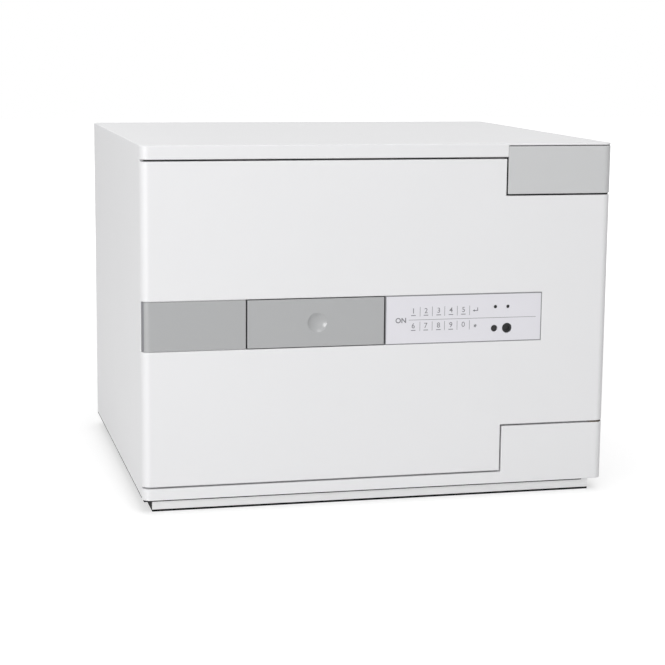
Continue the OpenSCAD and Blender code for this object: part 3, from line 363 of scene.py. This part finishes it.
def drawToLines(bm, node):
    for vert in bm.verts:
        vert.co.z = drawnPlace(frontLines["heights"], vert.co.z / millimetre) * millimetre
        if node not in frontLines["heightsOnly"]:
            vert.co.x = drawnPlace(frontLines["widths"], vert.co.x / millimetre) * millimetre
    if node in frontLines["trims"]:
        low, high = (Vector(pick(vert.co[axis] for vert in bm.verts) for axis in range(3))
                     for pick in (min, max))
        middle, size = (low + high) / 2, high - low
        trimX, trimZ = (trim * millimetre for trim in frontLines["trims"][node])
        bmesh.ops.scale(bm, vec=(1 - 2 * trimX / size.x, 1, 1 - 2 * trimZ / size.z),
                        space=Matrix.Translation(-middle), verts=bm.verts)


def makeShell(node, name, radius):
    bm = mergedCopy(node)
    if node in frontLines["nodes"]:
        drawToLines(bm, node)
    if node in paintedShadeEdges:
        axis, width, dark = paintedShadeEdges[node]
        border = min(vert.co[axis] for vert in bm.verts) + width * millimetre
        across = Matrix.Identity(3)[axis]
        cutAcross(bm, across * border, across)
    mesh = meshFrom(bm, name)
    smoothByAngle(mesh, shellMaking["crease"])
    piece = addPiece(name, mesh, bodyOf[node], slotOf[node], ownFinish.get(node))
    # Faces inside the band take the painted shade finish
    if node in paintedShadeEdges:
        mesh.materials.append(materials[dark])
        for face in mesh.polygons:
            face.material_index = int(face.center[axis] < border)
    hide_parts(node)
    softenEdges(piece, radius * millimetre, shellMaking["steps"],
                ownCorner.get(node, shellMaking["corner"]))


for node, (name, radius) in softShells.items():
    makeShell(node, name, radius)
print("shells softened:", len(softShells))

# Black strips in the gaps round the hinge cap and over the door, painted shade that darkens the
# gaps, in mm:
# piece: (lowest corner, highest corner, radius of the front right corner)
paintedShadeStrips = {
    "capSeamStrip": ((121.8, -199.6, 337.4), (224.3, -184.0, 338.0), 7.6),
    "capSlotStrip": ((122.6, -199.2, 291.2), (224.0, -184.0, 292.5), 7.6),
    "capSideStrip": ((120.6, -198.4, 293.0), (121.4, -184.0, 327.0), 0.1),
    "doorHeadStrip": ((-221.6, -198.4, 326.3), (121.0, -190.0, 327.2), 0.1),
}
stripMaking = {"edge": 0.05, "steps": 2, "cornerSteps": 8, "near": 0.001}


def makePaintedShadeStrip(name, low, high, rounding):
    low, high = Vector(low) * millimetre, Vector(high) * millimetre
    near = stripMaking["near"] * millimetre
    bm = bmesh.new()
    addBlock(bm, low, high)
    corner = [edge for edge in bm.edges
              if all((vert.co.xy - Vector((high.x, low.y))).length < near for vert in edge.verts)]
    bmesh.ops.bevel(bm, geom=corner, offset=rounding * millimetre, profile=0.5, affect="EDGES",
                    segments=stripMaking["cornerSteps"])
    # Each strip is a black sheet drawn as painted shade; the rubber slot named here is not what it
    # shows
    strip = addPiece(name, meshFrom(bm, name), "cabinet", "seal_rubber", "painted_shade_black")
    softenEdges(strip, stripMaking["edge"] * millimetre, stripMaking["steps"])


for name, (low, high, rounding) in paintedShadeStrips.items():
    makePaintedShadeStrip(name, low, high, rounding)
print("gap strips laid:", len(paintedShadeStrips))

# The plinth: a black pan with a white apron along its front, in mm and degrees. The pan's black is
# painted shade under the body's overhang, its black foot a painted contact shadow, and the apron's
# white lighter than the body's as painted light against the overhang's shade
plinthParts = {
    "top": 13.5,  # drawn up to the body's lower edge
    "near": 0.1,  # points this close to the pan's old top go up with it
    "apronDeep": 1.5,
    "footTall": 1.9,  # black foot under the apron, a painted contact shadow
    "edge": 0.3, "steps": 2, "crease": 32,
}


def addPlinthPiece(name, bm, slot, finish):
    mesh = meshFrom(bm, name)
    smoothByAngle(mesh, plinthParts["crease"])
    piece = addPiece(name, mesh, "cabinet", slot, finish)
    softenEdges(piece, plinthParts["edge"] * millimetre, plinthParts["steps"])
    return piece


def makePlinth():
    low, high = (Vector(corner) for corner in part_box("plinth"))
    split = low.y + plinthParts["apronDeep"] * millimetre
    foot = low.z + plinthParts["footTall"] * millimetre
    top = plinthParts["top"] * millimetre
    bm = mergedCopy("plinth")
    rim = cutAcross(bm, (0, split, 0), (0, -1, 0), clearOuter=True)
    bmesh.ops.edgeloop_fill(bm, edges=rim)
    for vert in bm.verts:
        if vert.co.z > high.z - plinthParts["near"] * millimetre:
            vert.co.z = top
    addBlock(bm, (low.x, low.y, low.z), (high.x, split, foot))
    bmesh.ops.recalc_face_normals(bm, faces=bm.faces)
    # The pan and its foot in black as painted shade
    pan = addPlinthPiece("plinthPan", bm, "black_plastic", "painted_shade_black")
    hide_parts("plinth")
    bm = bmesh.new()
    addBlock(bm, (low.x, low.y, foot), (high.x, split, top))
    # The apron in a lighter white as painted light
    addPlinthPiece("plinthApron", bm, "white_paint", "apron_painted_light_white")


makePlinth()
print("plinth made")

# Printed marks on the keypad, in mm from the door's middle line and from the floor
keypadPrint = {
    "face": -200.0, "proud": 0.03, "thin": 0.42,
    "labels": ("12345", "67890"), "columns": (30.8, 43.1, 55.5, 67.6, 79.9, 91.8),
    "rows": (184.0, 169.9), "tall": 4.9, "digitBold": 0.004,
    "barDrop": 4.4, "barLong": 4.5, "barTall": 0.75,
    "separators": (37.3, 49.3, 61.4, 73.8, 86.0),
    "separatorSpans": ((178.6, 187.7), (164.8, 173.6)), "line": (26.3, 152.2, 175.4),
    "onPlace": (18.6, 175.2), "onTall": 5.0, "onBold": 0.022,
    "enterTall": 3.2, "enterWide": 5.0, "enterThick": 0.75,
    "headSteps": 4, "headStepWide": 0.4, "headStepTall": 0.25,
    "starTall": 3.3, "starBold": 0.03, "starDrop": 1.7,
}


def flatText(words, tall, middleX, middleZ, bold):
    curve = bpy.data.curves.new("mark", "FONT")
    curve.body = words
    curve.align_x = "CENTER"
    curve.offset = bold
    curve.extrude = keypadPrint["proud"] * millimetre
    writing = addObject("mark", curve)
    bpy.context.view_layer.update()
    mesh = bpy.data.meshes.new_from_object(writing)
    bpy.data.objects.remove(writing)
    low, high = (Vector([pick(vert.co[axis] for vert in mesh.vertices) for axis in (0, 1)])
                 for pick in (min, max))
    scale = tall * millimetre / (high.y - low.y)
    place = Vector((middleX, keypadPrint["face"], middleZ)) * millimetre
    mesh.transform(Matrix.Translation(-((low + high) / 2).to_3d()))
    mesh.transform(Matrix.Diagonal((scale, scale, 1, 1)))
    mesh.transform(Matrix.Rotation(math.radians(90), 4, "X"))
    mesh.transform(Matrix.Translation(place))
    return mesh


def addBar(bm, lowX, highX, lowZ, highZ):
    face, proud = keypadPrint["face"], keypadPrint["proud"]
    addBlock(bm, Vector((lowX, face - proud, lowZ)) * millimetre,
             Vector((highX, face + proud, highZ)) * millimetre)


def addDigits(bm, marks):
    for row, digits in zip(marks["rows"], marks["labels"]):
        for column, digit in zip(marks["columns"], digits):
            bm.from_mesh(flatText(digit, marks["tall"], column, row, marks["digitBold"]))
            if digit != "0":
                low = row - marks["barDrop"]
                addBar(bm, column - marks["barLong"] / 2, column + marks["barLong"] / 2,
                       low - marks["barTall"] / 2, low + marks["barTall"] / 2)


def addRules(bm, marks):
    half = marks["thin"] / 2
    for low, high in marks["separatorSpans"]:
        for place in marks["separators"]:
            addBar(bm, place - half, place + half, low, high)
    start, end, level = marks["line"]
    addBar(bm, start, end, level - half, level + half)


# Enter mark: a down stroke, a foot and a head that widens from the foot's left end
def addEnterMark(bm, marks):
    thick, wide, tall = marks["enterThick"], marks["headStepWide"], marks["headStepTall"]
    middle = marks["columns"][-1]
    left, right = middle - marks["enterWide"] / 2, middle + marks["enterWide"] / 2
    foot = marks["rows"][0] - marks["enterTall"] / 2
    addBar(bm, right - thick, right, foot, foot + marks["enterTall"])
    addBar(bm, left + thick, right - thick, foot, foot + thick)
    for step in range(marks["headSteps"]):
        start, half = left + step * wide, tall * (step + 1)
        addBar(bm, start, start + wide, foot + thick / 2 - half, foot + thick / 2 + half)


def makeKeypadPrint(marks):
    bm = bmesh.new()
    addDigits(bm, marks)
    addRules(bm, marks)
    bm.from_mesh(flatText("ON", marks["onTall"], *marks["onPlace"], marks["onBold"]))
    addEnterMark(bm, marks)
    bm.from_mesh(flatText("*", marks["starTall"], marks["columns"][-1],
                          marks["rows"][1] - marks["starDrop"], marks["starBold"]))
    addPiece("keypadMarks", meshFrom(bm, "keypadMarks"), "door", "tray_grey", "ink_and_painted_shade_grey")


makeKeypadPrint(keypadPrint)
print("keypad printed")

# Camera, worked out from the corners seen in the photograph: metres, degrees and pixels
cameraView = {"place": (-0.4283, -1.7806, 0.4428), "turn": -13.558, "rise": 9.665, "roll": 0.535,
              "focalPixels": 1774.7, "framePixels": 665, "sensor": 36}


def makeCamera():
    turn, rise, roll = (math.radians(cameraView[key]) for key in ("turn", "rise", "roll"))
    ahead = Vector((-math.sin(turn) * math.cos(rise), math.cos(turn) * math.cos(rise),
                    -math.sin(rise)))
    level = ahead.cross(Vector((0, 0, 1))).normalized()
    upright = level.cross(ahead)
    right = math.cos(roll) * level + math.sin(roll) * upright
    top = math.cos(roll) * upright - math.sin(roll) * level
    lens = bpy.data.cameras.new("camera")
    lens.sensor_width = cameraView["sensor"]
    lens.lens = cameraView["focalPixels"] / cameraView["framePixels"] * lens.sensor_width
    holder = addObject("camera", lens)
    axes = Matrix((right, top, -ahead)).transposed().to_4x4()
    holder.matrix_world = Matrix.Translation(cameraView["place"]) @ axes
    bpy.context.scene.camera = holder


makeCamera()
print("camera placed")

# Light: a white surround and five soft panels, low from the left, in front low and high, above
# and behind, over a pale floor
studio = {
    "surround": 0.505, "backdrop": 1.0,
    "panels": (  # place, aimed at, side in metres, watts
        ((-2.2, -2.4, 0.35), (0, 0, 0.18), 1.4, 57.0),
        ((0.0, -3.2, 0.5), (0, 0, 0.1), 1.4, 5.0),
        ((0.0, -2.1, 2.6), (0, 0, 0.18), 1.4, 18.5),
        ((0.0, 0.0, 2.8), (0, 0, 0.18), 1.4, 11.0),
        ((-0.6, 2.4, 2.0), (0, 0, 0.18), 1.4, 6.0),
    ),
}

# The pale floor, in metres. It glows so that it meets the white backdrop. Reflections see an even
# glow, and the camera sees it rise between near and far: (distance, glow)
pale = {"side": 14.0, "tone": 0.6, "glow": 0.5, "near": (0.5, 0.56), "far": (2.0, 0.9)}


# One where the camera looks, also by way of a reflection or through something clear
def backdropMask(tree):
    rays = addNode(tree, "ShaderNodeLightPath").outputs
    seen = addNode(tree, "ShaderNodeMath",
                   {0: rays["Is Camera Ray"], 1: rays["Is Glossy Ray"]}, operation="MAXIMUM")
    return addNode(tree, "ShaderNodeMath",
                   {0: seen.outputs[0], 1: rays["Is Transmission Ray"]},
                   operation="MAXIMUM").outputs[0]


def makeWorld():
    world = bpy.data.worlds.new("studioWhite")
    bpy.context.scene.world = world
    tree = emptyTree(world)
    dim, bright = (addNode(tree, "ShaderNodeBackground", {"Color": white, "Strength": strength})
                   for strength in (studio["surround"], studio["backdrop"]))
    either = addNode(tree, "ShaderNodeMixShader",
                     {0: backdropMask(tree), 1: dim.outputs[0], 2: bright.outputs[0]})
    addNode(tree, "ShaderNodeOutputWorld", {"Surface": either.outputs[0]})


def makePanel(name, place, target, side, power):
    lamp = bpy.data.lights.new(name, "AREA")
    lamp.size = side
    lamp.energy = power
    holder = addObject(name, lamp)
    holder.location = place
    holder.rotation_mode = "QUATERNION"
    holder.rotation_quaternion = (Vector(target) - Vector(place)).to_track_quat("-Z", "Y")


def floorMaterial():
    material = bpy.data.materials.new("floorPale")
    tree = emptyTree(material)
    tone = pale["tone"]
    matt = addNode(tree, "ShaderNodeBsdfDiffuse", {"Color": (tone, tone, tone, 1)})
    place = addNode(tree, "ShaderNodeTexCoord").outputs["Object"]
    away = addNode(tree, "ShaderNodeVectorMath", {0: place}, operation="LENGTH")
    near, nearGlow = pale["near"]
    far, farGlow = pale["far"]
    rising = addNode(tree, "ShaderNodeMapRange", {
        "Value": away.outputs["Value"], "From Min": near, "From Max": far,
        "To Min": nearGlow, "To Max": farGlow}, interpolation_type="SMOOTHSTEP")
    rays = addNode(tree, "ShaderNodeLightPath").outputs
    shown = addNode(tree, "ShaderNodeMix", {
        "Factor": rays["Is Camera Ray"], "A": pale["glow"], "B": rising.outputs["Result"]},
        data_type="FLOAT")
    glow = addNode(tree, "ShaderNodeEmission", {"Strength": shown.outputs["Result"]})
    both = addNode(tree, "ShaderNodeAddShader", {0: matt.outputs[0], 1: glow.outputs[0]})
    either = addNode(tree, "ShaderNodeMixShader",
                     {0: backdropMask(tree), 1: matt.outputs[0], 2: both.outputs[0]})
    addNode(tree, "ShaderNodeOutputMaterial", {"Surface": either.outputs[0]})
    return material


def makeFloor():
    bm = bmesh.new()
    bmesh.ops.create_grid(bm, x_segments=1, y_segments=1, size=pale["side"] / 2)
    floor = addObject("studioFloor", meshFrom(bm, "studioFloor"))
    floor.data.materials.append(floorMaterial())


makeWorld()
for number, panel in enumerate(studio["panels"], 1):
    makePanel(f"softPanel{number}", *panel)
makeFloor()
bpy.context.scene.view_settings.view_transform = "Standard"
print("studio lit")
